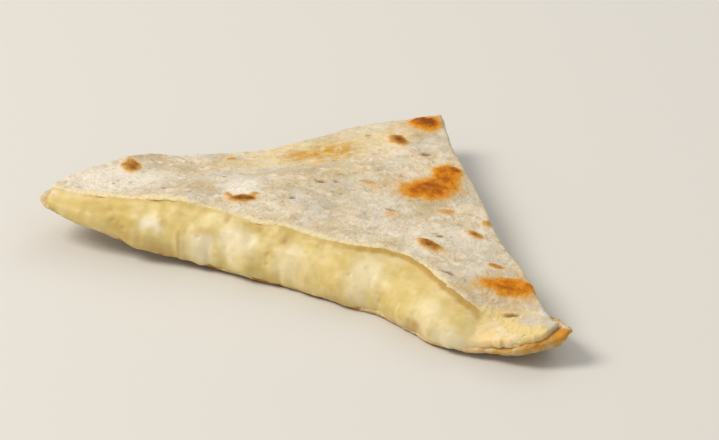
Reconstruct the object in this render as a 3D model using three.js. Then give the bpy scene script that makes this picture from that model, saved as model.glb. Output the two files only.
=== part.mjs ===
// A wedge of cheese quesadilla: two flour tortillas with melted cheese between them, cut twice with a knife.
// The long front cut lies along +X with its narrow tip at the +X end, the short side cut faces +X +Y, and the
// baked rim closes the wedge on the left. The cheese has sagged out of the front cut as a sloping face that
// stands over the bottom tortilla's edge. The top tortilla's lip lies back from it, except at the tip, where
// the tortilla drapes down over the cheese.
import * as THREE from "three";

const { clamp, degToRad, lerp, smoothstep } = THREE.MathUtils;

// ---- Driving dimensions, in millimetres ----
const FRONT_CUT = 147.6; // rim corner to tip
const SIDE_CUT = 119.5; // tip to the other rim corner
const TIP_ANGLE = degToRad(50);
const RIM_BOW = 14.5; // how far the rim bows out past the straight line between its corners
const RIM_SKEW = 0.8; // below 1 moves the fullest bow towards the front corner
const RIM_FLATNESS = 0.85; // below 1 fills the bow out towards both corners
const RIM_WAVER = { depth: 0.5, length: 0.21, phase: 0.4 }; // its length is a share of the rim
const RIM_SHOULDER = { height: 7.5, centre: 0.85, spread: 0.12 }; // fills the rim out next to the back corner
const SIDE_HOLLOW = { bottom: 1, cheese: 1.6, top: 2.1 }; // how far the side cut bows in

const TORTILLA = 2; // thickness of one tortilla
const LIP = 1.3; // thickness of the top tortilla at its edge over the cheese
const LIP_THINS_OVER = 8;
const EDGE_ROUND = 0.45; // how far a tortilla's edge swells at mid thickness
const CLEARANCE = 0.3; // air between touching layers
const PINCHED = 0.9; // between the tortillas at the rim and the tip
const FILLING = 9; // what the cheese adds to that where it is thickest
const FILLING_AT_SIDE = 0.6; // share of it that is left at the side cut
const FULL_FROM_SIDE = 55; // distance from the side cut over which the cheese swells to its full thickness
const FULL_FROM_RIM = 40;
const FULL_FROM_TIP = 38;
const RIM_SEAM = 2; // width of the pinched seam along the rim
const TIP_SEAM = 3;

// Outline of the front cut: where it swells forward, and the ripple of the knife.
const FRONT_HUMPS = [
  { height: 10.2, centre: 123, spread: 19 }, // the cheese has sagged most here
  { height: 3.4, centre: 139.5, spread: 7 }, // fullness beside the tip
  { height: -3.8, centre: 56, spread: 32 }, // hollow before the sag
];
const FRONT_RIPPLE = { depth: 0.4, length: 27, phase: 1 };

// Bare cheese between the foot of its face and the lip of the top tortilla.
const SHELF = 5.2;
const SHELF_SAG = { height: 7.4, centre: 101, spread: 20 };
const SHELF_RIPPLE = { depth: 0.4, length: 33, phase: 2 };
const SHELF_UNDER_SKIRT = 0.03; // share of the shelf that is left where the top tortilla drapes
const CHEESE_OVERHANG = 1.4; // how far the cheese stands out over the bottom tortilla's edge
const SKIRT_FROM = 122; // the top tortilla starts to drape down over the cheese here
const SKIRT_TO = 134;
const SKIRT_REACH = 13; // how far back from the front cut the drape starts
const SKIRT_LEAD = 3; // how much sooner the sheet starts to sink than its edge comes forward
const SKIRT_DROP_FROM = -5; // the drape lies fully down as far back as this from the ideal front cut

// What curls up off the table: its height, how far in it reaches, and how gently it starts.
const CURLS = {
  tip: { height: 6, reach: 46, power: 2 },
  frontCorner: { height: 5.2, reach: 71, power: 1.4 },
  backCorner: { height: 8, reach: 60, power: 2 },
  rim: { height: 5.2, reach: 46, power: 2 },
};

// Shares of the rim between which its own curl fades, and the share of it that is left past them.
const RIM_CURL_FADE = [0.28, 0.55];
const RIM_CURL_LEFT = 0.28;

// Lumps of cheese under the top tortilla: each is a net of waves across the plan.
const LUMPS = [
  { depth: 0.3, length: 37, phase: 0.7, lean: 0.4, width: 29, crossPhase: 1.9, crossLean: -0.3 },
  { depth: 0.22, length: 23, phase: 0.2, lean: -0.9, width: 19, crossPhase: 3, crossLean: 0.6 },
];

// How far each layer's own corners lie from the wedge's corners, as [x, y].
const CORNERS = {
  bottom: { front: [0, 0.9], back: [0, -1], tipFront: [-1, 0.2], tipSide: [-1.3, 1.5] },
  cheese: { front: [3, 0.9], back: [-1.6, -6], tipFront: [-9.5, 1], tipSide: [-9.5, 6] },
  top: { front: [1.6, 0.9], back: [0.5, -2.6], tipFront: [-4.6, 0.3], tipSide: [-3.2, 0.4] },
};

// Cells along the front cut, from front to side and through the thickness, and how they crowd to the front.
const CELLS = { bottom: [34, 16, 2], cheese: [58, 16, 7], top: [50, 22, 2] };
const CROWDING = { bottom: 1.2, cheese: 1.4, top: 1.4 };

// ---- Plan of the whole wedge ----
const frontCorner = new THREE.Vector2(0, 0);
const tip = new THREE.Vector2(FRONT_CUT, 0);
const sideDirection = new THREE.Vector2(-Math.cos(TIP_ANGLE), Math.sin(TIP_ANGLE));
const sideInward = new THREE.Vector2(-Math.sin(TIP_ANGLE), -Math.cos(TIP_ANGLE));
const backCorner = tip.clone().addScaledVector(sideDirection, SIDE_CUT);
const rimLength = frontCorner.distanceTo(backCorner);
const rimDirection = backCorner.clone().sub(frontCorner).divideScalar(rimLength);
const rimOutward = new THREE.Vector2(-rimDirection.y, rimDirection.x);

const hump = ({ height, centre, spread }, x) => height * Math.exp(-(((x - centre) / spread) ** 2));
const ripple = ({ depth, length, phase }, x) => depth * Math.sin((2 * Math.PI * x) / length + phase);

// Bow of the rim past its straight line, for a share s of the way from the front corner to the back corner.
function rimBow(s) {
  const bow = RIM_BOW * Math.abs(Math.sin(Math.PI * s ** RIM_SKEW)) ** RIM_FLATNESS;
  return bow + (ripple(RIM_WAVER, s) + hump(RIM_SHOULDER, s)) * Math.sin(Math.PI * s);
}

const frontSwell = (x) => FRONT_HUMPS.reduce((sum, each) => sum + hump(each, x), ripple(FRONT_RIPPLE, x));
const skirt = (x) => smoothstep(x, SKIRT_FROM, SKIRT_TO);
const shelf = (x) =>
  (SHELF + hump(SHELF_SAG, x) + ripple(SHELF_RIPPLE, x)) * lerp(1, SHELF_UNDER_SKIRT, skirt(x));

// ---- Heights over the plan ----
const curl = ({ height, reach, power }, distance) => height * clamp(1 - distance / reach, 0, 1) ** power;
const alongRim = (p) => clamp(p.clone().sub(frontCorner).dot(rimDirection) / rimLength, 0, 1);
const fromRim = (p) => rimBow(alongRim(p)) - p.clone().sub(frontCorner).dot(rimOutward);
const fromSide = (p) => p.clone().sub(tip).dot(sideInward);
const fromLip = (p) => p.y + frontSwell(p.x) - shelf(p.x);

// Height of the underside above the table: the rim curls up next to the front corner and sags in its middle.
const tableGap = (p) =>
  curl(CURLS.tip, p.distanceTo(tip)) +
  curl(CURLS.frontCorner, p.distanceTo(frontCorner)) +
  curl(CURLS.backCorner, p.distanceTo(backCorner)) +
  curl(CURLS.rim, fromRim(p)) * lerp(1, RIM_CURL_LEFT, smoothstep(alongRim(p), ...RIM_CURL_FADE));

const lump = ({ depth, length, phase, lean, width, crossPhase, crossLean }, p) =>
  ripple({ depth, length, phase }, p.x + lean * p.y) *
  ripple({ depth: 1, length: width, phase: crossPhase }, p.y + crossLean * p.x);

// Height between the two tortillas.
function filling(p) {
  const full =
    smoothstep(fromRim(p), RIM_SEAM, FULL_FROM_RIM) * smoothstep(p.distanceTo(tip), TIP_SEAM, FULL_FROM_TIP);
  const across = lerp(FILLING_AT_SIDE, 1, smoothstep(fromSide(p), 0, FULL_FROM_SIDE));
  const drape =
    skirt(p.x + SKIRT_LEAD) * (1 - smoothstep(p.y, SKIRT_DROP_FROM, SKIRT_DROP_FROM + SKIRT_REACH));
  const lumps = LUMPS.reduce((sum, each) => sum + lump(each, p), 0);
  return PINCHED + (FILLING + lumps) * full * across * (1 - drape);
}

const lipThinning = (p) =>
  (TORTILLA - LIP) * (1 - smoothstep(fromLip(p), 0, LIP_THINS_OVER)) * (1 - skirt(p.x));
const cheeseBottom = (p) => tableGap(p) + TORTILLA + CLEARANCE;
const topUnderside = (p) => tableGap(p) + TORTILLA + filling(p) + lipThinning(p);
const cheeseTop = (p) => topUnderside(p) - CLEARANCE;

// ---- Surfaces over a four-sided plan: u runs from rim to tip, v from front cut to side cut ----
function bowedLine(from, to, t, bow) {
  const line = to.clone().sub(from);
  const left = new THREE.Vector2(-line.y, line.x).normalize();
  return from.clone().addScaledVector(line, t).addScaledVector(left, bow);
}

// Blends the four edges of a layer into one point of its plan.
function blend(edges, u, v) {
  const { front, side, rimSwell, tipSwell } = edges;
  const corners = [front(0), front(1), side(0), side(1)];
  const shares = [(1 - u) * (1 - v), u * (1 - v), (1 - u) * v, u * v];
  const rim = bowedLine(corners[0], corners[2], v, rimSwell(v));
  const end = bowedLine(corners[1], corners[3], v, tipSwell(v));
  const point = new THREE.Vector2()
    .addScaledVector(front(u), 1 - v)
    .addScaledVector(side(u), v)
    .addScaledVector(rim, 1 - u)
    .addScaledVector(end, u);
  shares.forEach((share, i) => point.addScaledVector(corners[i], -share));
  return point;
}

// A closed block of cells whose vertices a function (u, v, w) moves into place.
function mappedBlock(cells, crowding, place) {
  const geometry = new THREE.BoxGeometry(1, 1, 1, ...cells);
  geometry.deleteAttribute("normal");
  geometry.deleteAttribute("uv");
  const position = geometry.getAttribute("position");
  for (let i = 0; i < position.count; i++) {
    const [u, v, w] = [position.getX(i) + 0.5, position.getY(i) + 0.5, position.getZ(i) + 0.5];
    const spot = place(u, v ** crowding, w);
    position.setXYZ(i, spot.x, spot.y, spot.z);
  }
  return geometry;
}

// Cut edges of one layer between its own corners, with the wobble of a knife cut.
function layerEdges(corners, { frontLine, sideWobble, hollow, bow, tipRound }) {
  const corner = (base, [x, y]) => new THREE.Vector2(base.x + x, base.y + y);
  const front = corner(frontCorner, corners.front);
  const back = corner(backCorner, corners.back);
  const tipFront = corner(tip, corners.tipFront);
  const tipSide = corner(tip, corners.tipSide);
  return {
    front: (u) => {
      const x = lerp(front.x, tipFront.x, u);
      return new THREE.Vector2(x, lerp(front.y, tipFront.y, u) + frontLine(x));
    },
    side: (u) => {
      const middle = Math.abs(Math.sin(Math.PI * u));
      return bowedLine(back, tipSide, u, sideWobble(u) * middle - hollow * Math.sqrt(middle));
    },
    rimSwell: bow,
    tipSwell: (v) => -tipRound * Math.sin(Math.PI * v),
  };
}

// A tortilla: a sheet over a plan, its edge swelling a little at mid thickness.
function tortillaSheet(cells, crowding, edges, underside, thickness) {
  const widestInset = 0.2; // share of the sheet's width, for where it narrows to the tip
  return mappedBlock(cells, crowding, (u, v, w) => {
    const skin = Math.abs(2 * w - 1) * EDGE_ROUND;
    const insetU = skin / FRONT_CUT;
    const insetV = Math.min(widestInset, skin / edges.front(u).distanceTo(edges.side(u)));
    const p = blend(edges, lerp(insetU, 1 - insetU, u), lerp(insetV, 1 - insetV, v));
    return new THREE.Vector3(p.x, p.y, underside(p) + thickness(p) * w);
  });
}

// ---- The three layers ----
function bottomTortilla() {
  const edges = layerEdges(CORNERS.bottom, {
    frontLine: (x) => ripple({ depth: 0.3, length: 13, phase: 0.5 }, x) - frontSwell(x),
    sideWobble: (u) => ripple({ depth: 0.6, length: 0.37, phase: 2 }, u),
    hollow: SIDE_HOLLOW.bottom,
    bow: rimBow,
    tipRound: 0.4,
  });
  return tortillaSheet(CELLS.bottom, CROWDING.bottom, edges, tableGap, () => TORTILLA);
}

function topTortilla() {
  const RIM_SETBACK = 0.8;
  const edges = layerEdges(CORNERS.top, {
    frontLine: (x) => shelf(x) - frontSwell(x),
    sideWobble: (u) => ripple({ depth: 0.7, length: 0.43, phase: 2.2 }, u),
    hollow: SIDE_HOLLOW.top,
    bow: (s) => rimBow(s) - RIM_SETBACK * Math.sqrt(Math.abs(Math.sin(Math.PI * s))),
    tipRound: 0.4,
  });
  return tortillaSheet(CELLS.top, CROWDING.top, edges, topUnderside, (p) => TORTILLA - lipThinning(p));
}

// The cheese's face slopes from its foot up to the lip, with folds that run down it. w runs up the face.
function cheese() {
  const FOOT = 0.2; // share of the height at which the face stands out most
  const FACE_ROUNDNESS = 1.6;
  const TUCK = 0.12; // how far it draws in below that, as a share of the shelf
  const RIM_SETBACK = 2.5;
  const UNDER_SKIRT = 0.9; // how far it lies back from the front cut where the top tortilla drapes
  const UNDER_LIP = 0.95; // share of the shelf over which the face slopes back
  const STARTS = [4, 16]; // along the front cut, the overhang and the folds grow from nothing here
  const SIDE_BULGE = 0.5; // at mid height, along the side cut
  const SIDE_RIPPLE = { depth: 0.7, length: 0.29, phase: 5 };
  const FOLDS = [
    { depth: 0.45, length: 14.5, phase: 1.1, drift: 0.8 },
    { depth: 0.35, length: 23, phase: 4, drift: -1 },
    { depth: 0.25, length: 9.2, phase: 0, drift: 2 },
  ];
  const FOLDS_END = [SKIRT_TO - 4, SKIRT_TO + 8];
  const FOLD_LIFT = 0.15; // the folds still show at the foot, and fade out before the lip
  const slope = (w) => {
    const rise = Math.max(0, (w - FOOT) / (1 - FOOT));
    const tuck = Math.max(0, 1 - w / FOOT);
    return 1 - Math.sqrt(1 - rise ** FACE_ROUNDNESS) + TUCK * tuck ** 2;
  };
  const fold = (x, w) => {
    const waves = FOLDS.map(({ drift, phase, ...wave }) => ripple({ ...wave, phase: phase + drift * w }, x));
    const fade = smoothstep(x, ...STARTS) * (1 - smoothstep(x, ...FOLDS_END));
    return waves.reduce((sum, each) => sum + each, 0) * fade * Math.sin(Math.PI * Math.min(1, w + FOLD_LIFT));
  };
  const frontLine = (x, w) => {
    const overhang = CHEESE_OVERHANG * smoothstep(x, ...STARTS) * (1 - skirt(x));
    const foot = UNDER_SKIRT * skirt(x) - frontSwell(x) - overhang;
    return foot + (overhang + UNDER_LIP * shelf(x)) * slope(w) - fold(x, w);
  };
  return mappedBlock(CELLS.cheese, CROWDING.cheese, (u, v, w) => {
    const edges = layerEdges(CORNERS.cheese, {
      frontLine: (x) => frontLine(x, w),
      sideWobble: (t) => ripple(SIDE_RIPPLE, t) + SIDE_BULGE * Math.sin(Math.PI * w),
      hollow: SIDE_HOLLOW.cheese,
      bow: (s) => rimBow(s) - RIM_SETBACK * Math.sin(Math.PI * s),
      tipRound: 1.2,
    });
    const p = blend(edges, u, v);
    return new THREE.Vector3(p.x, p.y, lerp(cheeseBottom(p), cheeseTop(p), w));
  });
}

const finish = (color, roughness) => new THREE.MeshStandardMaterial({ color, roughness, metalness: 0 });
const layers = [
  { name: "bottom_tortilla", geometry: bottomTortilla(), material: finish("#d9c49a", 0.85) },
  { name: "cheese", geometry: cheese(), material: finish("#e5cf94", 0.4) },
  { name: "top_tortilla", geometry: topTortilla(), material: finish("#decda9", 0.85) },
];

const wedge = new THREE.Group();
for (const { name, geometry, material } of layers) {
  const layer = new THREE.Mesh(geometry, material);
  layer.name = name;
  wedge.add(layer);
}

// The origin is under the middle of the wedge's box, on the table.
const extent = new THREE.Box3().setFromObject(wedge);
const middle = extent.getCenter(new THREE.Vector3());
wedge.position.set(-middle.x, -middle.y, -extent.min.z);

const quesadilla = new THREE.Group();
quesadilla.add(wedge);

export default quesadilla;
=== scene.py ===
"""A wedge of cheese quesadilla on a pale table: two flour tortillas with melted cheese between them."""
import math

import bmesh
import bpy
import numpy as np
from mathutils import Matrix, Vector, kdtree, noise
from mathutils.bvhtree import BVHTree


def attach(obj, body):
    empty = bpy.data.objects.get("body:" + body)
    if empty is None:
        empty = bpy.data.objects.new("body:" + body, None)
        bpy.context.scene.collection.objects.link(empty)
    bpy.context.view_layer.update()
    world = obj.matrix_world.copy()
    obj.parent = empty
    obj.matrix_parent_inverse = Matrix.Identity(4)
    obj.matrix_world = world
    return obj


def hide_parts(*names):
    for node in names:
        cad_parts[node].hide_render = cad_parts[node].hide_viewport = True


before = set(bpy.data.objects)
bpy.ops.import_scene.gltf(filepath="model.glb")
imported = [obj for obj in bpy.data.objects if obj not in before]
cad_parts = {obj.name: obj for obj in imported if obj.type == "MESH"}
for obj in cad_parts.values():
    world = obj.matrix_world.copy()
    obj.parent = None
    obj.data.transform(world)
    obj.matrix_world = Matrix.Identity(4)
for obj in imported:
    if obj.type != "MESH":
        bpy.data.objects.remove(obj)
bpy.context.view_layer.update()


# ---- Bottom tortilla ------------------------------------------------------------------------------
# The lower sheet of the wedge, rolled flour dough baked on a griddle. It is 2 mm thick and lies on the
# table, so what shows is its cut edge under the cheese, its browned end at the tip, and its toasted
# underside where the corners curl up.

# A millimetre in metres, the size of the cells that the sheets are rebuilt in, and the least angle of an
# edge left by the knife.
MM = 0.001
TORTILLA_CELL = 0.45 * MM
CUT_ANGLE = math.radians(35)
# Spots lie slanted to the front cut by these degrees, and each one's own turn is added to them.
SPOT_SLANT = 26

# Bands along the edges: where each starts and where it is full, in millimetres from the edge.
CUT_BAND = (1.4, 0.2)
FRONT_BAND = (2.2, 0.6)
BACK_BAND = (1.8, 0.4)
GREASY_BAND = (5, 0.5)
RIM_BAND = (7, 1)
# How upright a face is, by the height of its normal: where a cut's crumb starts and where it is full.
UPRIGHT = (0.8, 0.4)
# How far a face looks down or up, in the same way.
DOWNWARD = (0.1, -0.6)
UPWARD = (0.0, 0.5)
# Stretches of the front towards the tip, in millimetres: the edge crisps, crusts over, and puffs up.
CRISP_END = (46, 56)
CRUST_END = (54, 66)
PUFFED_END = (61, 67)
# How far the end has puffed up and the rim has risen, in millimetres.
PUFF = 1.25
RIM_LIFT = 0.24
# How darkly the side cut, the rim and the puffed end are toasted.
BACK_TOAST = 0.27
TIP_TOAST = 0.36

# Browned stretches of the cut edge along the front: where each starts and ends, in millimetres, and how
# dark it is.
BROWNED_STRETCHES = [
    (-62, -54, 0.8),
    (-51, -43, 0.6),
    (-41, -33, 0.3),
    (-30, -22, 0.6),
    (-15, -5, 0.6),
    (0, 6, 0.85),
    (10, 18, 0.6),
    (24, 30, 0.35),
    (36, 57, 0.2),
]
# The griddle's marks on the underside: how many, their half-size in millimetres, how much longer or wider
# than round they may be, and how dark.
GRIDDLE_MARKS = 46
MARK_REACH = (0.8, 4.5)
MARK_STRETCH = (0.7, 1.3)
MARK_DEPTH = (0.35, 0.75)


def finest_mesh(name, node, cell, crisp, swell=0.0):
    """Copies a layer's solid into a new piece, rounds its facets and rebuilds it in even cells. Where
    crisp, the edges left by the knife stay sharp, and only the baked rim, which faces -X, is rounded. A
    swollen layer is that much thicker on both faces, in millimetres."""
    weld = 0.001 * MM
    same_plane = math.radians(40)
    same_shape = math.radians(70)
    rim_facing = -0.45
    form = bmesh.new()
    form.from_mesh(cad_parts[node].data)
    bmesh.ops.remove_doubles(form, verts=form.verts, dist=weld)
    quads = {"angle_face_threshold": same_plane, "angle_shape_threshold": same_shape}
    bmesh.ops.join_triangles(form, faces=form.faces, **quads)
    form.normal_update()
    for point in form.verts:
        point.co.z += swell * MM * max(-1, min(1, 2 * point.normal.z))
    crease = form.edges.layers.float.new("crease_edge")
    for edge in form.edges:
        baked_rim = min(face.normal.x for face in edge.link_faces) < rim_facing
        if crisp and not baked_rim and edge.calc_face_angle(0) > CUT_ANGLE:
            edge[crease] = 1
    mesh = bpy.data.meshes.new(name)
    form.to_mesh(mesh)
    form.free()
    piece = bpy.data.objects.new(name, mesh)
    bpy.context.scene.collection.objects.link(piece)
    rounding = piece.modifiers.new("rounding", "SUBSURF")
    rounding.levels = 2
    cells = piece.modifiers.new("cells", "REMESH")
    cells.mode = "VOXEL"
    cells.voxel_size = cell
    cells.use_smooth_shade = True
    settle = piece.modifiers.new("settle", "SMOOTH")
    settle.factor = 0.5
    settle.iterations = 2
    bpy.context.view_layer.update()
    evaluated = piece.evaluated_get(bpy.context.evaluated_depsgraph_get())
    piece_mesh = bpy.data.meshes.new_from_object(evaluated)
    piece.modifiers.clear()
    piece.data = piece_mesh
    piece_mesh.name = name
    bpy.data.meshes.remove(mesh)
    return piece


def points_of(piece):
    """The piece's points and their normals, the points in millimetres."""
    count = len(piece.data.vertices)
    points = np.empty(count * 3)
    normals = np.empty(count * 3)
    piece.data.vertices.foreach_get("co", points)
    piece.data.vertices.foreach_get("normal", normals)
    return points.reshape(-1, 3) / MM, normals.reshape(-1, 3)


def move_points(piece, points):
    """Puts the piece's points at new places, given in millimetres."""
    piece.data.vertices.foreach_set("co", (points * MM).ravel())
    piece.data.update()


def paint(piece, name, values):
    """Stores one number from 0 to 1 for each point, which the materials read by name."""
    painted = piece.data.attributes.new(name, "FLOAT", "POINT")
    painted.data.foreach_set("value", np.clip(values, 0, 1))


def clouds(points, size, seed, octaves=3):
    """Soft random values of about -1 to 1, one for each point, in blots of the given size in millimetres.
    Each seed takes them from another part of the noise."""
    apart = (17.3, 5.1, 9.7)
    shift = Vector([seed * step for step in apart])
    return np.array([noise.fractal(Vector(p) + shift, 1.0, 2.0, octaves) for p in points / size])


def ramp(low, high, values):
    """Rises smoothly from 0 at low to 1 at high."""
    share = np.clip((values - low) / (high - low), 0, 1)
    return share * share * (3 - 2 * share)


def distance_to(points, targets):
    """Distance in millimetres from each point to the nearest of the targets."""
    tree = kdtree.KDTree(len(targets))
    for index, target in enumerate(targets):
        tree.insert(target, index)
    tree.balance()
    return np.array([tree.find(p)[2] for p in points])


def edges_of(points, normals):
    """Distances to the front cut, the side cut and the baked rim, told apart by where the edge faces."""
    upright = np.abs(normals[:, 2]) < 0.5
    facings = {
        "front": normals[:, 1] < -0.6,
        "side": (normals[:, 0] > 0.2) & (normals[:, 1] > 0.2),
        "rim": normals[:, 0] < -0.3,
    }
    return {edge: distance_to(points, points[upright & facing]) for edge, facing in facings.items()}


class Warp:
    """Shifts that make outlines on a piece wander, in broad and in fine waves of these sizes in
    millimetres."""

    BROAD = 6
    FINE = 1.7

    def __init__(self, points, seed):
        self.broad = [clouds(points, self.BROAD, seed + i, 2) for i in (0, 1)]
        self.fine = [clouds(points, self.FINE, seed + i, 2) for i in (2, 3)]


def spot(points, warp, place, reach, turn=0.0):
    """1 in the middle of an uneven spot, 0 at its outline and below 0 outside. Reach is its half-length and
    its half-width. The outlines of small spots wander less."""
    broad_wander = 2.2
    fine_wander = 0.7
    large_reach = 5
    angle = math.radians(SPOT_SLANT + turn)
    wander = min(1.0, min(reach) / large_reach)
    x = points[:, 0] - place[0] + wander * (broad_wander * warp.broad[0] + fine_wander * warp.fine[0])
    y = points[:, 1] - place[1] + wander * (broad_wander * warp.broad[1] + fine_wander * warp.fine[1])
    along = (x * math.cos(angle) + y * math.sin(angle)) / reach[0]
    across = (y * math.cos(angle) - x * math.sin(angle)) / reach[1]
    return 1 - np.hypot(along, across)


def linear(hex_colour):
    """An sRGB hex colour as the linear RGBA that the shaders use."""
    channels = [int(hex_colour[i : i + 2], 16) / 255 for i in (1, 3, 5)]
    return [c / 12.92 if c <= 0.04045 else ((c + 0.055) / 1.055) ** 2.4 for c in channels] + [1]


def add(tree, kind, inputs=(), stops=(), **settings):
    """Adds a node with its settings and the stops of its colour ramp. Each input, named or counted, gets a
    value, a hex colour, or a link from a socket or from a node's first output. Sockets that are not in use
    are skipped."""
    node = tree.nodes.new("ShaderNode" + kind)
    for name, value in settings.items():
        setattr(node, name, value)
    for index, (place, colour) in enumerate(stops):
        elements = node.color_ramp.elements
        stop = elements[index] if index < 2 else elements.new(place)
        stop.position = place
        stop.color = linear(colour)
    for name, value in dict(inputs).items():
        in_use = [socket for socket in node.inputs if socket.enabled]
        target = in_use[name] if isinstance(name, int) else next(s for s in in_use if s.name == name)
        if isinstance(value, bpy.types.Node):
            value = next(socket for socket in value.outputs if socket.enabled)
        if isinstance(value, bpy.types.NodeSocket):
            tree.links.new(value, target)
        else:
            target.default_value = linear(value) if isinstance(value, str) else value
    return node


def empty_material(name):
    """A new material without nodes, and its node tree."""
    material = bpy.data.materials.new(name)
    material.use_nodes = True
    material.node_tree.nodes.clear()
    return material, material.node_tree


def blots(tree, size, low, high, strength=1.0, detail=4.0):
    """Random blots of the given size in millimetres: the noise between low and high turns into 0 to
    strength."""
    place = add(tree, "TexCoord").outputs["Object"]
    grain = add(tree, "TexNoise", {"Vector": place, "Scale": 1 / (size * MM), "Detail": detail})
    limits = {"Value": grain, "From Min": low, "From Max": high, "To Max": strength}
    return add(tree, "MapRange", limits, interpolation_type="SMOOTHSTEP")


def baked_flour_tortilla():
    """Baked flour tortilla: matte dough, dusted with flour and toasted brown where it touched the griddle.
    Flour gives the eye a pale, chalky bloom, and grease makes the dough yellower."""
    material, tree = empty_material("baked_flour_tortilla")

    # Wide warm and grey zones, then tan blotches, damp ones, blisters whitened by steam, and dark pores.
    # Each mark is its size in millimetres, the noise where it starts and is full, its strength and colour.
    zones = [(0.34, "#c0ae8c"), (0.68, "#dccdb1"), (0.5, "#cfbd9c")]
    colour = add(tree, "ValToRGB", {"Fac": blots(tree, 14, 0, 1, 1, 3)}, zones)
    dough_marks = [
        (5.5, 0.52, 0.7, 0.5, "#d7b894"),
        (3.4, 0.5, 0.66, 0.55, "#b9a17a"),
        (2.6, 0.5, 0.7, 0.65, "#e6decb"),
        # The last, fine dark marks are painted shade in pores.
        (0.8, 0.59, 0.72, 0.5, "#a28a64"),
    ]
    for size, low, high, strength, mark_colour in dough_marks:
        mark = blots(tree, size, low, high, strength)
        colour = add(tree, "Mix", {"Factor": mark, "A": colour, "B": mark_colour}, data_type="RGBA")

    # What the pieces are painted with, each broken up by blots that are given as the marks are.
    coats = [
        ("grey", 3.0, 0.3, 0.6, 0.8, "#c4bba8"),
        ("flour", 2.2, 0.15, 0.52, 0.8, "#eae3d5"),
        ("crumb", 1.0, 0.1, 0.5, 1.0, "#e3d1a6"),
        ("melted", 1.8, 0.12, 0.42, 1.0, "#e2c98c"),
        ("grease", 2.6, 0.3, 0.62, 0.9, "#e2c684"),
        ("tan", 3.2, 0.28, 0.62, 1.0, "#c69330"),
        ("crust", 1.6, 0.25, 0.6, 0.9, "#a8742c"),
        ("soot", 0.7, 0.1, 0.4, 0.85, "#826544"),
    ]
    for name, size, low, high, strength, coat_colour in coats:
        painted = add(tree, "Attribute", attribute_name=name).outputs["Fac"]
        broken = {0: painted, 1: blots(tree, size, low, high, strength)}
        coat = add(tree, "Math", broken, operation="MULTIPLY")
        colour = add(tree, "Mix", {"Factor": coat, "A": colour, "B": coat_colour}, data_type="RGBA")

    # Browning, made uneven by blots. Broad toasted spots go from gold through orange to brown. Small
    # scorched ones have a pale outline and a dull brown core.
    mottle = add(tree, "Math", {0: blots(tree, 2.4, 0.3, 0.7, 0.4, 3), 1: 0.8}, operation="ADD")
    browns = {
        "toast": [(0, "#dfc08a"), (1, "#84430a"), (0.28, "#d19740"), (0.5, "#d28214"), (0.72, "#b3650e")],
        "scorch": [(0, "#f0d3a4"), (1, "#5a3508"), (0.28, "#cd9e5c"), (0.5, "#b07a36"), (0.75, "#905b1e")],
    }
    for name, stops in browns.items():
        painted = add(tree, "Attribute", attribute_name=name).outputs["Fac"]
        depth = add(tree, "Math", {0: painted, 1: mottle}, operation="MULTIPLY", use_clamp=True)
        covered = add(tree, "MapRange", {"Value": depth, "From Min": 0.0, "From Max": 0.3})
        shares = {"Factor": covered, "A": colour, "B": add(tree, "ValToRGB", {"Fac": depth}, stops)}
        colour = add(tree, "Mix", shares, data_type="RGBA")

    # A grain and small blisters as fine relief, and a dry finish, with a roughness of 0.68 to 0.88.
    grain = {"Height": blots(tree, 0.9, 0, 1, 1, 5), "Strength": 0.85, "Distance": 0.4 * MM}
    blisters = {"Height": blots(tree, 2.6, 0, 1, 1, 3), "Strength": 0.5, "Distance": 0.6 * MM}
    blisters["Normal"] = add(tree, "Bump", grain)
    dryness = add(tree, "Math", {0: blots(tree, 1.5, 0.3, 0.7, 0.2), 1: 0.68}, operation="ADD")
    surface = {
        "Base Color": colour,
        "Roughness": dryness,
        "Normal": add(tree, "Bump", blisters),
        "IOR": 1.45,
        "Specular IOR Level": 0.15,
        "Subsurface Weight": 0.1,
        "Subsurface Radius": (1.0, 0.6, 0.3),
        "Subsurface Scale": 1.0 * MM,
    }
    add(tree, "OutputMaterial", {"Surface": add(tree, "BsdfPrincipled", surface)})
    return material


TORTILLA_FINISH = baked_flour_tortilla()

bottom = finest_mesh("bottom_tortilla_sheet", "bottom_tortilla", TORTILLA_CELL, crisp=True)
points, normals = points_of(bottom)
edges = edges_of(points, normals)
cut_band = ramp(*CUT_BAND, np.min(list(edges.values()), axis=0))
underside = ramp(*DOWNWARD, normals[:, 2])
warp = Warp(points, 11)

# Toasted marks on the underside, scorched stretches on the front edge, and a little toast on the others.
# The order of the random draws decides where the marks lie.
random = np.random.default_rng(11)
toast = np.zeros(len(points))
for index in range(GRIDDLE_MARKS):
    place = points[random.integers(len(points)), :2]
    mark = spot(points, warp, place, random.uniform(*MARK_REACH) * random.uniform(*MARK_STRETCH, 2))
    toast = np.maximum(toast, random.uniform(*MARK_DEPTH) * ramp(-0.2, 0.7, mark))
toast *= underside

front_edge = ramp(*FRONT_BAND, edges["front"])
patchy = 0.55 + 0.45 * ramp(-0.4, 0.4, clouds(points, 3.5, 12))
scorch = np.zeros(len(points))
for start, end, darkness in BROWNED_STRETCHES:
    inside = np.minimum(points[:, 0] - start, end - points[:, 0]) + 1.4 * warp.fine[0]
    scorch = np.maximum(scorch, darkness * patchy * front_edge * ramp(-0.6, 2.0, inside))
back_edges = ramp(*BACK_BAND, np.minimum(edges["side"], edges["rim"])) * ramp(-0.5, 0.4, warp.fine[1])
toast = np.maximum(toast, BACK_TOAST * back_edges * ramp(-0.1, 0.6, clouds(points, 6, 4)))

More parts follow.
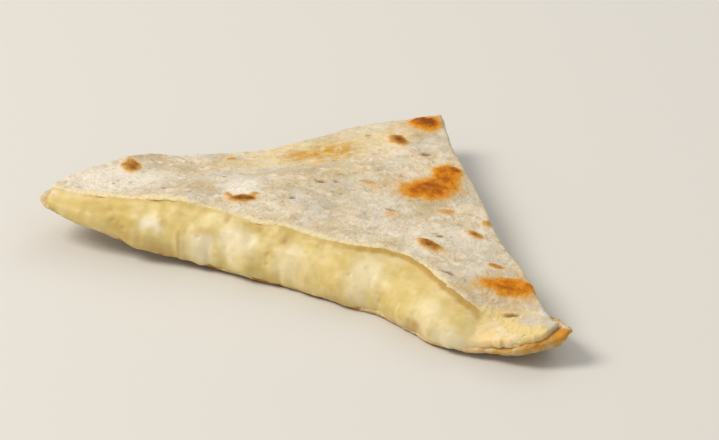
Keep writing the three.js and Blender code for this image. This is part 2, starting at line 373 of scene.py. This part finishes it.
# Relief in millimetres: a pitted underside, ragged cuts, and the puffed end. The rim rises towards the
# top sheet, and nothing goes below the table.
pits = 0.06 * clouds(points, 2.2, 5) + 0.12 * clouds(points, 7, 6)
ragged_cut = 0.12 * clouds(points, 1.6, 7) + 0.25 * clouds(points, 5, 8)
tip_end = ramp(*PUFFED_END, points[:, 0]) * ramp(0.1, 0.6, normals[:, 2])
puffed = (PUFF + 0.3 * clouds(points, 2.5, 14)) * tip_end
relief = pits * underside * (1 - cut_band) + ragged_cut * cut_band + puffed
points += normals * relief[:, None]
points[:, 2] += (RIM_LIFT + 0.25 * clouds(points, 12, 15)) * ramp(*RIM_BAND, edges["rim"])
points[:, 2] = np.maximum(points[:, 2], 0)
move_points(bottom, points)

toast = np.maximum(toast, TIP_TOAST * tip_end * ramp(-0.9, 0.4, clouds(points, 4, 13)))
crisp_end = ramp(*CRISP_END, points[:, 0]) * front_edge
crust_end = ramp(*CRUST_END, points[:, 0]) * front_edge
browned_below = 0.5 * ramp(0, 0.6, clouds(points, 11, 9)) * underside
paint(bottom, "toast", toast)
paint(bottom, "scorch", scorch)
paint(bottom, "crust", 0.3 * crust_end * ramp(-0.7, 0.2, normals[:, 2]))
paint(bottom, "grease", 0.5 * ramp(*GREASY_BAND, edges["front"]))
paint(bottom, "crumb", cut_band * ramp(*UPRIGHT, np.abs(normals[:, 2])) * (1 - 0.6 * crisp_end))
paint(bottom, "tan", 0.35 * front_edge + 0.4 * crisp_end + browned_below)
paint(bottom, "flour", 0.6 * ramp(0, 0.5, clouds(points, 9, 10)) * underside)
bottom.data.materials.append(TORTILLA_FINISH)
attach(bottom, "root")
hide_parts("bottom_tortilla")


# ---- Top tortilla ---------------------------------------------------------------------------------
# The upper sheet, of the same baked dough, which the griddle has blistered and toasted in spots. It lies
# on the cheese, hangs back from the front cut, and drapes down over the end of the cheese at the tip.

# Broad toasted spots and small scorched ones, both from the back corner to the tip: place, half-sizes in
# millimetres, turn in degrees, how deeply the whole spot is browned, and how much deeper its core.
TOASTED_SPOTS = [
    ((-4.1, 42.8), (5.4, 3.6), -50, 0.74, 0.24),
    ((13.0, 9.0), (7.0, 5.4), 4, 0.62, 0.12),
    ((14.4, 16.4), (4.2, 7.0), -8, 0.58, 0.1),
    ((14.2, 20.6), (3.2, 1.5), -42, 0.5, 0.4),
    ((53.0, -29.2), (7.0, 4.6), -4, 0.52, 0.04),
    ((52.0, -29.4), (4.2, 2.5), -10, 0.5, 0.2),
]
SCORCHED_SPOTS = [
    ((-6.3, 31.0), (4.8, 2.1), -71, 0.46, 0.28),
    ((22.4, 0.7), (2.8, 2.4), -24, 0.26, 0.05),
    ((-0.6, 3.4), (2.9, 2.1), -31, 0.18, 0.0),
    ((-23.9, -21.7), (3.9, 2.5), 10, 0.56, 0.34),
    ((-27.9, -21.6), (2.5, 1.2), -58, 0.24, 0.1),
    ((-22.5, -18.9), (2.3, 1.3), 38, 0.24, 0.1),
    ((-60.1, -12.4), (4.4, 2.3), -91, 0.5, 0.2),
    ((12.1, -9.5), (3.0, 2.4), -80, 0.2, 0.0),
    ((33.9, -8.2), (3.2, 2.1), -50, 0.3, 0.24),
    ((33.4, 0.0), (1.4, 2.4), -10, 0.3, 0.1),
    ((26.7, -19.4), (4.8, 2.3), -53, 0.48, 0.34),
    ((45.6, -21.0), (2.6, 1.3), -33, 0.34, 0.16),
    ((-43.6, 10.6), (1.7, 2.0), -20, 0.24, 0.12),
]
# Pores that burst and scorched: place, half-sizes and turn.
SCORCHED_PORES = [
    ((4.2, 25.4), (1.5, 1.1), 0),
    ((-12.1, -1.6), (1.7, 0.8), -20),
    ((-8.6, 0.2), (1.0, 0.5), -20),
    ((-0.8, 4.2), (1.8, 0.8), -15),
    ((-2.8, 3.4), (0.9, 0.6), -15),
    ((-45.0, -23.5), (0.9, 0.8), 0),
    ((-13.7, -14.6), (0.8, 0.7), 0),
    ((10.7, -7.0), (2.0, 0.8), -27),
    ((22.1, 0.9), (2.3, 0.9), -8),
    ((26.7, -12.9), (1.1, 0.9), -30),
    ((34.2, -8.2), (1.4, 0.6), -45),
    ((36.9, -30.7), (2.7, 0.9), -40),
    ((45.4, -21.0), (1.6, 0.6), -33),
    ((57.9, -38.6), (2.2, 0.7), -10),
    ((15.4, 22.6), (1.0, 0.8), -40),
]
# Zones of the dough between the spots: place, half-sizes and depth.
GOLDEN_ZONES = [
    ((-27.9, 17.7), (4, 4.5), 0.9),
    ((-23.5, 21.8), (7, 5), 1.0),
    ((-18.2, 21.2), (6, 5.5), 0.85),
    ((-17.5, 13.6), (4, 3), 0.4),
    ((-7.6, 40.2), (5, 5), 0.35),
    ((10, 11), (10, 9), 0.5),
    ((51, -30), (10, 8), 0.5),
    ((-4.2, 41.3), (6.5, 6), 0.5),
]
YELLOWED_ZONES = [
    ((-25.5, 20), (20, 11), 0.9),
    ((-15, 27), (13, 9), 0.6),
    ((-39, 8), (12, 7), 0.6),
    ((-9, 7.7), (6, 5), 0.5),
    ((-13.4, 33), (9, 7), 0.7),
    ((57.5, -38.2), (5.5, 2.4), 0.9),
]
FLOURY_ZONES = [
    ((4, -6), (11, 6), 0.4),
    ((16, -15), (9, 6), 0.3),
    ((-27, -17), (6, 7), 0.9),
    ((-59.4, -21), (15, 11), 0.8),
    ((31, -14), (9, 8), 0.4),
    ((55, -34), (7, 3.5), 0.3),
    ((67, -40), (5, 4), 0.1),
]
# The darker core of a browned spot: how far it lies from the spot's middle and how large it is, both as
# shares of the spot's half-sizes, and how far it is turned.
CORE_SHIFT = (0.1, 0.12)
CORE_SIZE = (0.75, 0.6)
CORE_TURN = -8
# How far browned spots have risen as blisters, and how deep burst pores and wrinkles are, in millimetres.
BLISTER = 0.5
PORE_DEPTH = 0.35
WRINKLE_DEPTH = 0.3
# Small bubbles: how many, their half-size in millimetres, how much longer or wider than round they may
# be, and how high they are for their half-size.
BUBBLES = 110
BUBBLE_REACH = (1.3, 4.6)
BUBBLE_STRETCH = (0.8, 1.3)
BUBBLE_RISE = 0.09
# Scorched freckles, given in the same way, and how dark they are.
FRECKLES = 70
FRECKLE_REACH = (0.3, 0.6)
FRECKLE_STRETCH = (0.8, 1.5)
FRECKLE_DEPTH = (0.3, 0.8)
# Wrinkles along the front cut, in millimetres: how far in each runs, and where it starts and ends. Each is
# narrow, and fades over a short way at both ends.
WRINKLES = [(12.5, -6, 18), (15.5, -10, 12), (18.5, 0, 22), (9.5, 2, 16)]
WRINKLE_WIDTH = 0.45
WRINKLE_FADE = (0, 3)
# The skirt, which is the part of the sheet that has turned down near the tip, in millimetres: places along
# the front with how far in the fold lies there, where it starts, and how softly the sheet turns.
SKIRT_FOLD = [(48, 1), (54, 6), (59, 8.5), (64, 6), (70, 2)]
SKIRT_START = (46, 49)
SKIRT_TURN = (1.2, -1.2)
# The bared crumb along the lip, from the cut, and how far the rim has settled, in millimetres.
LIP_BAND = (2.6, 0.9)
RIM_DROP = 0.38


def zones_of(points, warp, zones, fade):
    """How deeply each point lies in the zones. Each fades in between two shares of its half-size, counted
    inwards from its outline."""
    depths = np.zeros(len(points))
    for place, reach, depth in zones:
        depths = np.maximum(depths, depth * ramp(*fade, spot(points, warp, place, reach)))
    return depths


top = finest_mesh("top_tortilla_sheet", "top_tortilla", TORTILLA_CELL, crisp=True)
points, normals = points_of(top)
edges = edges_of(points, normals)
cut_band = ramp(*CUT_BAND, np.min(list(edges.values()), axis=0))
upper_side = ramp(*UPWARD, normals[:, 2])
warp = Warp(points, 21)

# Browned spots, and how far each has risen, which is more where the spot is large.
toast = np.zeros(len(points))
scorch = np.zeros(len(points))
blisters = np.zeros(len(points))
browned_spots = [(toast, each) for each in TOASTED_SPOTS]
browned_spots += [(scorch, each) for each in SCORCHED_SPOTS]
for browned, (place, reach, turn, depth, core_depth) in browned_spots:
    whole = spot(points, warp, place, reach, turn)
    core_place = (place[0] + CORE_SHIFT[0] * reach[0], place[1] + CORE_SHIFT[1] * reach[1])
    core_reach = (CORE_SIZE[0] * reach[0], CORE_SIZE[1] * reach[1])
    core = spot(points, warp, core_place, core_reach, turn + CORE_TURN)
    shade = depth * (0.3 * ramp(-0.45, 0.0, whole) + 0.7 * ramp(-0.15, 0.45, whole))
    np.maximum(browned, shade + core_depth * ramp(-0.2, 0.5, core), out=browned)
    blisters = np.maximum(blisters, min(1, 0.3 + max(reach) / 6) * ramp(-0.5, 0.5, whole))

# Bubbles, burst pores and freckles. The bubbles are drawn at random before the freckles.
random = np.random.default_rng(23)
bubbles = np.zeros(len(points))
for index in range(BUBBLES):
    place = points[random.integers(len(points)), :2]
    size = random.uniform(*BUBBLE_REACH)
    dome = spot(points, warp, place, size * random.uniform(*BUBBLE_STRETCH, 2))
    bubbles = np.maximum(bubbles, BUBBLE_RISE * size * ramp(0, 1, dome))
burst = np.zeros(len(points))
for place, reach, turn in SCORCHED_PORES:
    burst = np.maximum(burst, ramp(-0.2, 0.5, spot(points, warp, place, reach, turn)))
freckles = np.zeros(len(points))
for index in range(FRECKLES):
    place = points[random.integers(len(points)), :2]
    size = random.uniform(*FRECKLE_REACH)
    freckle = spot(points, warp, place, size * random.uniform(*FRECKLE_STRETCH, 2))
    freckles = np.maximum(freckles, random.uniform(*FRECKLE_DEPTH) * ramp(-0.3, 0.5, freckle))

tan = zones_of(points, warp, GOLDEN_ZONES, (-0.5, 0.6))
yellowed = zones_of(points, warp, YELLOWED_ZONES, (-0.4, 0.7))
flour = zones_of(points, warp, FLOURY_ZONES, (-0.4, 0.5))
flour = np.maximum(flour, 0.4 * ramp(0.1, 0.6, clouds(points, 10, 37)))
wrinkles = np.zeros(len(points))
for from_lip, start, end in WRINKLES:
    line = np.exp(-(((edges["front"] - from_lip + 1.2 * warp.broad[0]) / WRINKLE_WIDTH) ** 2))
    line = line * ramp(*WRINKLE_FADE, points[:, 0] - start) * ramp(*WRINKLE_FADE, end - points[:, 0])
    wrinkles = np.maximum(wrinkles, line)

# How far each point lies in from the fold decides whether it is on the skirt.
from_fold = edges["front"] - np.interp(points[:, 0], *zip(*SKIRT_FOLD)) + 1.2 * warp.broad[1]
skirt = ramp(*SKIRT_START, points[:, 0]) * ramp(*SKIRT_TURN, from_fold)

# Relief in millimetres: wide waves, pebbled dough, creases, crumbs on the skirt, and ragged cuts. The rim
# settles towards the bottom sheet.
crumbs = (0.3 * clouds(points, 1.5, 38) + 0.3 * clouds(points, 3, 40)) * skirt
wide = 0.3 * clouds(points, 15, 31)
pebbles = 0.2 * clouds(points, 4.2, 32) + (0.12 + 0.1 * yellowed) * clouds(points, 1.5, 33, 4)
creases = -0.3 * ramp(0.88, 1.0, 1 - np.abs(clouds(points * (0.4, 1.7, 1), 7, 34, 2)))
risen = wide + pebbles + creases + bubbles + BLISTER * blisters
risen = risen - PORE_DEPTH * burst - WRINKLE_DEPTH * wrinkles + crumbs
ragged_cut = 0.12 * clouds(points, 1.5, 35) + 0.22 * clouds(points, 5, 36)
points += normals * (upper_side * risen * (1 - 0.6 * cut_band) + ragged_cut * cut_band)[:, None]
points[:, 2] -= (RIM_DROP + 0.45 * clouds(points, 14, 42)) * ramp(*RIM_BAND, edges["rim"])
move_points(top, points)

lip_band = ramp(*LIP_BAND, edges["front"] + 0.8 * warp.fine[0]) * (1 - skirt)
greyed = clouds(points, 12, 39) + 0.22 * ramp(-5, 15, points[:, 0])
paint(top, "toast", toast * upper_side)
paint(top, "scorch", scorch * upper_side)
paint(top, "soot", np.maximum(freckles, burst) * upper_side)
paint(top, "tan", tan)
paint(top, "grease", yellowed)
paint(top, "melted", skirt)
paint(top, "crumb", np.maximum(lip_band, cut_band * ramp(*UPRIGHT, np.abs(normals[:, 2]))))
paint(top, "flour", flour * (1 - skirt))
paint(top, "grey", ramp(0.0, 0.5, greyed) * (1 - skirt))
top.data.materials.append(TORTILLA_FINISH)
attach(top, "root")
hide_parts("top_tortilla")


# ---- Melted cheese --------------------------------------------------------------------------------
# Mild white and yellow cheese, grated and melted between the tortillas. It sticks to both, has sagged out
# of the front cut as one smooth face with upright folds, and hangs over the bottom tortilla's edge.

# The cells that the cheese is rebuilt in.
CHEESE_CELL = 0.45 * MM
# How much the cheese swells against both sheets, in millimetres, so that no air is left between them.
CHEESE_SWELL = 0.38
# Its face: how far to the front a point looks, and how near the sheets' front edges, in millimetres.
FACING_FRONT = (0.1, -0.3)
FACE_REACH = (12, 9)
# How level the cheese has to lie for the sheets to hold it flat.
HELD_LEVEL = (0.75, 0.95)
# How it creeps up the lip's cut edge, in millimetres: how thickly, over what distance, in what band also
# where the top sheet covers it, and how far up a sheet that covers it is looked for.
CREEP = 0.75
CREEP_REACH = 1.6
CREEP_BAND = (1.2, 0.8)
COVER_REACH = 4
# How far its foot hangs down over the bottom sheet, from what band above it, how far it is squeezed out of
# the seam, and how thick its film on the skirt is.
FOOT_SAG = 1.2
FOOT_BAND = (4.5, 1.2)
SQUEEZE = 1.3
DRAPE_FILM = 0.3
# Small pits of burst bubbles in the face: how many, their half-size and their depth in millimetres.
BUBBLE_PITS = 22
PIT_REACH = (0.4, 1.1)
PIT_DEPTH = 0.3
# Along the front, in millimetres: where the top sheet drapes down, where the film on it thins out and
# ends, where the foot stops sagging, where the lumps of the side cut end, where the cheese is squeezed out
# of the seam, and where that has crisped.
DRAPE_START = (46, 53)
FILM_THINS = (68, 58)
FILM_END = (69, 64)
SAG_END = (60, 50)
LUMPS_END = (66, 58)
SEAM_START = (56, 60)
CRISPED_START = (61, 65)
# The film, in millimetres: its reach up the skirt from the lip, past the sheet's edge, and behind it.
FILM_REACH = (6.5, 2.5)
FILM_PAST = (3.5, 0.3)
FILM_BEHIND = (0.5, 0.25)

# Patches of the face: how far along the front, how high up as a share of the face, half-sizes, and depth.
# Ochre fat; the patches high up, just under the lip, are painted shade of the lip as well.
OCHRE_FAT_AND_LIP_SHADE = [
    ((-60, 0.85), (6, 0.3), 1.1),
    ((-49, 0.6), (9, 0.35), 0.6),
    ((6, 0.9), (12, 0.14), 0.45),
    ((7, 0.5), (8, 0.35), 0.25),
    ((31, 0.82), (8, 0.24), 0.7),
    ((45, 0.85), (7, 0.25), 0.65),
]
# Paler curd; the last patch, low at the foot towards the tip, is painted light where the face turns down.
WHITE_CURD_AND_PAINTED_LIGHT = [
    ((-40.7, 0.5), (3.2, 0.16), 0.95),
    ((-27.5, 0.35), (4, 0.32), 0.6),
    ((-19, 0.55), (7, 0.35), 0.55),
    ((-3, 0.4), (4, 0.3), 0.35),
    ((17.5, 0.5), (5, 0.45), 0.4),
    ((40, 0.4), (6, 0.35), 0.25),
    ((46, 0.12), (8, 0.24), 0.5),
]
# Browned spots; the narrow upright one is a dark crease, painted shade.
BROWNED_CHEESE_AND_CREASE_SHADE = [
    ((-49, 0.3), (6, 0.1), 0.4),
    ((-38, 0.14), (5, 0.14), 0.55),
    ((-33.6, 0.3), (0.8, 0.3), 0.8),
    ((-28, 0.6), (2, 0.12), 0.3),
    ((-23, 0.93), (1.3, 0.1), 0.8),
    ((-14.6, 0.94), (1.4, 0.1), 0.8),
    ((-5.8, 0.7), (1.5, 0.24), 0.6),
    ((10, 0.1), (4, 0.1), 0.5),
    ((35, 0.12), (4, 0.12), 0.8),
]


def melted_cheese():
    """Melted cheese: a soft, fatty mass that light enters, pale yellow, with an uneven wet sheen."""
    material, tree = empty_material("melted_cheese")

    # Marks of curd and of fat, given as on the dough. The coats are what the piece is painted with.
    zones = [(0.34, "#cab26b"), (0.68, "#dcc98e"), (0.5, "#d4bd77")]
    colour = add(tree, "ValToRGB", {"Fac": blots(tree, 9, 0, 1, 1, 3)}, zones)
    cheese_marks = [(4.0, 0.46, 0.72, 0.42, "#e9d8ab"), (2.4, 0.52, 0.74, 0.35, "#cbab6c")]
    for size, low, high, strength, mark_colour in cheese_marks:
        mark = blots(tree, size, low, high, strength)
        colour = add(tree, "Mix", {"Factor": mark, "A": colour, "B": mark_colour}, data_type="RGBA")
    # The fat coat is partly painted shade under the lip; the skin and curd coats are partly painted light.
    coats = {"skin_and_painted_light": "#e6c98e", "curd_and_painted_light": "#f0e6cd", "fat_and_lip_shade": "#bd9c42", "browned": "#a87a3c"}
    for name, coat_colour in coats.items():
        painted = add(tree, "Attribute", attribute_name=name).outputs["Fac"]
        colour = add(tree, "Mix", {"Factor": painted, "A": colour, "B": coat_colour}, data_type="RGBA")

    # A soft grain as fine relief, and a sheen with a roughness of 0.38 to 0.58.
    grain = {"Height": blots(tree, 1.6, 0, 1), "Strength": 0.2, "Distance": 0.3 * MM}
    sheen = add(tree, "Math", {0: blots(tree, 3.0, 0.35, 0.7, 0.2), 1: 0.38}, operation="ADD")
    surface = {
        "Base Color": colour,
        "Roughness": sheen,
        "Normal": add(tree, "Bump", grain),
        "IOR": 1.45,
        "Specular IOR Level": 0.4,
        "Subsurface Weight": 0.3,
        "Subsurface Radius": (1.0, 0.75, 0.35),
        "Subsurface Scale": 2.0 * MM,
    }
    add(tree, "OutputMaterial", {"Surface": add(tree, "BsdfPrincipled", surface)})
    return material


def face_patches(along, height, warp, patches):
    """Uneven patches on the cheese's face, 1 where they are deepest."""
    painted = np.zeros(len(along))
    for (x, share), (reach, rise), depth in patches:
        sideways = (along - x + 1.5 * warp.broad[0]) / reach
        upward = (height - share + 0.12 * warp.broad[1]) / rise
        away = np.hypot(sideways, upward) + 0.25 * warp.fine[0]
        painted = np.maximum(painted, depth * ramp(1.3, 0.3, away))
    return painted


def front_edge_of(points, normals):
    """The points of a sheet's front cut."""
    return points[(normals[:, 1] < -0.45) & (np.abs(normals[:, 2]) < 0.6)]


cheese = finest_mesh("melted_cheese", "cheese", CHEESE_CELL, crisp=False, swell=CHEESE_SWELL)
points, normals = points_of(cheese)
warp = Warp(points, 41)
top_points, top_normals = points_of(top)
lip_edge = front_edge_of(top_points, top_normals)
from_lip = distance_to(points, lip_edge)
from_sheet = distance_to(points, front_edge_of(*points_of(bottom)))
height = from_sheet / (from_sheet + from_lip)
face = ramp(*FACING_FRONT, normals[:, 1]) * ramp(*FACE_REACH, np.minimum(from_lip, from_sheet))

# Relief in millimetres: lumps with creases between them, upright folds, pits of burst bubbles, and lumps
# that stand out of the side cut and the rim. Where the sheets hold the cheese, it stays flat.
held = ramp(*HELD_LEVEL, np.abs(normals[:, 2])) * (1 - face)
lumps = 0.65 * np.abs(clouds(points * (1, 0.6, 0.6), 8, 51, 2)) + 0.12 * clouds(points, 2.6, 52) - 0.15
upright_folds = 0.3 * clouds(points * (1, 0.5, 0.2), 5, 53, 2)
face_points = points[face > 0.9]
random = np.random.default_rng(57)
pits = np.zeros(len(points))
for index in range(BUBBLE_PITS):
    place = face_points[random.integers(len(face_points))]
    size = random.uniform(*PIT_REACH)
    near = 1 - np.linalg.norm((points - place) * (1, 1, 1.3), axis=1) / size + 0.3 * warp.fine[0]
    pits = np.maximum(pits, PIT_DEPTH * ramp(0, 0.7, near))
broad_ends = 0.9 * ramp(-0.2, 0.6, clouds(points, 10, 59))
fine_ends = 0.7 * ramp(-0.1, 0.5, clouds(points, 3.5, 64))
ends = (broad_ends + fine_ends) * (1 - face) * ramp(*LUMPS_END, points[:, 0])
relief = (lumps + upright_folds - pits + ends) * (1 - held)
points += normals * relief[:, None]

# It creeps up the lip's cut edge.
over = BVHTree.FromObject(top, bpy.context.evaluated_depsgraph_get())
from_lip = distance_to(points, lip_edge)
covers = [over.ray_cast(Vector(p) * MM, (0, 0, 1), COVER_REACH * MM)[0] for p in points]
bare = np.array([cover is None for cover in covers])
at_drape = ramp(*DRAPE_START, points[:, 0])
creep = (CREEP + 0.35 * clouds(points, 5, 54)) * (1 - 0.7 * at_drape)
nearness = np.exp(-((from_lip / CREEP_REACH) ** 2)) * ramp(-0.2, 0.3, normals[:, 2])
points += normals * (np.maximum(bare, ramp(*CREEP_BAND, from_lip)) * creep * nearness)[:, None]

# Where the top tortilla drapes down at the tip, it has welled up over the sheet's edge as a film, which
# follows the nearest point of the sheet's upper side in plan.
plan = (1, 1, 0)
crust = top_points[top_normals[:, 2] > 0.4]
crust_plan = kdtree.KDTree(len(crust))
for index, place in enumerate(crust * plan):
    crust_plan.insert(place, index)
crust_plan.balance()
nearest = [crust_plan.find(p) for p in points * plan]
past_sheet = np.array([found[2] for found in nearest])
beside = crust[[found[1] for found in nearest]]
film_height = beside[:, 2] + DRAPE_FILM * ramp(*FILM_THINS, points[:, 0])
up_skirt = distance_to(points * plan, lip_edge * plan) * (past_sheet < 0.5)
well_up = at_drape * ramp(*FILM_END, points[:, 0]) * ramp(-0.1, 0.5, normals[:, 2])
well_up *= ramp(*FILM_REACH, up_skirt + 0.9 * warp.broad[0]) * ramp(*FILM_PAST, past_sheet)
well_up *= ramp(*FILM_BEHIND, points[:, 1] - beside[:, 1])
points[:, 2] += well_up * np.maximum(0, film_height - points[:, 2])

# It sags down over the bottom tortilla's cut edge.
low = face * ramp(*FOOT_BAND, from_sheet) * ramp(0.3, -0.4, normals[:, 2])
sag = FOOT_SAG * (1 + 0.45 * clouds(points * (1, 0, 0), 9, 55)) * ramp(*SAG_END, points[:, 0])
points[:, 2] -= low * sag

# It is squeezed out of the seam under the skirt, and its film on the skirt is rough.
squeezed = ramp(*SEAM_START, points[:, 0]) * ramp(-0.2, -0.6, normals[:, 1])
points[:, 1] -= SQUEEZE * squeezed
points[:, 2] += 0.15 * clouds(points, 1.6, 60) * at_drape * ramp(0.1, 0.5, normals[:, 2])
move_points(cheese, points)

# Fat and painted shade just under the lip, and a darker line of grease and painted shadow where the sheet
# lifts off the cheese towards the tip.
along = points[:, 0]
from_lip = distance_to(points, lip_edge)
lip_fat_and_shade = ramp(2.0, 0.6, from_lip) * ramp(-0.6, 0.2, clouds(points, 8, 56)) * ramp(52, 47, along)
grease_and_shadow_line = ramp(1.9, 1.0, from_lip) * ramp(-10, 20, along) * ramp(53, 48, along)
fat_and_lip_shade_patches = 0.7 * face * face_patches(along, height, warp, OCHRE_FAT_AND_LIP_SHADE)
lip_fat_and_shadow = np.maximum(0.5 * lip_fat_and_shade, 0.9 * grease_and_shadow_line)
paint(cheese, "fat_and_lip_shade", np.maximum(lip_fat_and_shadow, fat_and_lip_shade_patches))

# Browned spots with painted shade in a crease, the painted shadow line under the lip, and crisped cheese.
browned_and_crease_shade = 0.6 * face * face_patches(along, height, warp, BROWNED_CHEESE_AND_CREASE_SHADE)
crisped = 0.5 * squeezed * ramp(*CRISPED_START, along) * ramp(-0.2, 0.5, clouds(points, 3, 61))
paint(cheese, "browned", np.maximum(browned_and_crease_shade, np.maximum(0.35 * grease_and_shadow_line, crisped)))

# Paler curd, with painted light at the foot and on the film towards the tip, where the face turns down.
curd_and_light_patches = face * face_patches(along, height, warp, WHITE_CURD_AND_PAINTED_LIGHT)
curd_ends = 0.5 * (1 - face) * ramp(0.0, 0.5, clouds(points, 5, 63))
curd_and_light_film = 0.3 * ramp(50, 57, along) * ramp(-0.2, 0.5, clouds(points, 4, 62))
paint(cheese, "curd_and_painted_light", np.maximum(np.maximum(curd_and_light_patches, curd_ends), curd_and_light_film))
# A paler skin on the film, which is painted light on the skirt and the side cut, where they lie in shade.
paint(cheese, "skin_and_painted_light", np.maximum(0.9 * ramp(49, 57, along), 0.6 * (1 - face)))
cheese.data.materials.append(melted_cheese())
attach(cheese, "root")
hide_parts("cheese")


# ---- Table, light and camera ----------------------------------------------------------------------
# A pale matte table top, one broad soft light above the camera's left, a weaker one behind, and an even
# white room. Places and sizes are in metres, the lens in millimetres, and powers in watts.

CAMERA_TURN = math.radians(26)
CAMERA_RISE = math.radians(26.3)
CAMERA_DISTANCE = 1.6
AIM = Vector((0.0, -0.004, 0.006))
LENS_LENGTH = 320
LENS_FILM = 36
HALF_TABLE = 3.0
ROOM_LIGHT = 0.55


def matte_table_top():
    """Warm white laminate, wiped clean: matte, with no pattern that shows at this distance."""
    material, tree = empty_material("warm_white_laminate")
    surface = {"Base Color": "#d6d2ca", "Roughness": 0.6, "Specular IOR Level": 0.2}
    add(tree, "OutputMaterial", {"Surface": add(tree, "BsdfPrincipled", surface)})
    return material


def soft_light(name, place, size, power, colour):
    """A round soft light that shines at the middle of the table."""
    lamp = bpy.data.lights.new(name, "AREA")
    lamp.shape = "DISK"
    lamp.size = size
    lamp.energy = power
    lamp.color = linear(colour)[:3]
    light = bpy.data.objects.new(name, lamp)
    light.location = place
    light.rotation_euler = light.location.to_track_quat("Z", "Y").to_euler()
    bpy.context.scene.collection.objects.link(light)


table_mesh = bpy.data.meshes.new("table_top")
corners = [(x * HALF_TABLE, y * HALF_TABLE, 0) for x, y in ((-1, -1), (1, -1), (1, 1), (-1, 1))]
table_mesh.from_pydata(corners, [], [(0, 1, 2, 3)])
table_mesh.materials.append(matte_table_top())
table_top = bpy.data.objects.new("table_top", table_mesh)
bpy.context.scene.collection.objects.link(table_top)

soft_light("softbox", place=(-0.7, -0.5, 1.0), size=0.7, power=13, colour="#fffaf2")
soft_light("window", place=(0.1, 1.1, 0.9), size=0.8, power=2.5, colour="#ffffff")

world = bpy.data.worlds.new("studio")
bpy.context.scene.world = world
world.use_nodes = True
world.node_tree.nodes["Background"].inputs["Color"].default_value = linear("#ffffff")
world.node_tree.nodes["Background"].inputs["Strength"].default_value = ROOM_LIGHT
bpy.context.scene.view_settings.view_transform = "Standard"

lens = bpy.data.cameras.new("camera")
lens.lens = LENS_LENGTH
lens.sensor_width = LENS_FILM
lens.clip_end = 20
camera = bpy.data.objects.new("camera", lens)
level = math.cos(CAMERA_RISE)
away = Vector((math.sin(CAMERA_TURN) * level, -math.cos(CAMERA_TURN) * level, math.sin(CAMERA_RISE)))
camera.location = AIM + CAMERA_DISTANCE * away
camera.rotation_euler = away.to_track_quat("Z", "Y").to_euler()
bpy.context.scene.collection.objects.link(camera)
bpy.context.scene.camera = camera
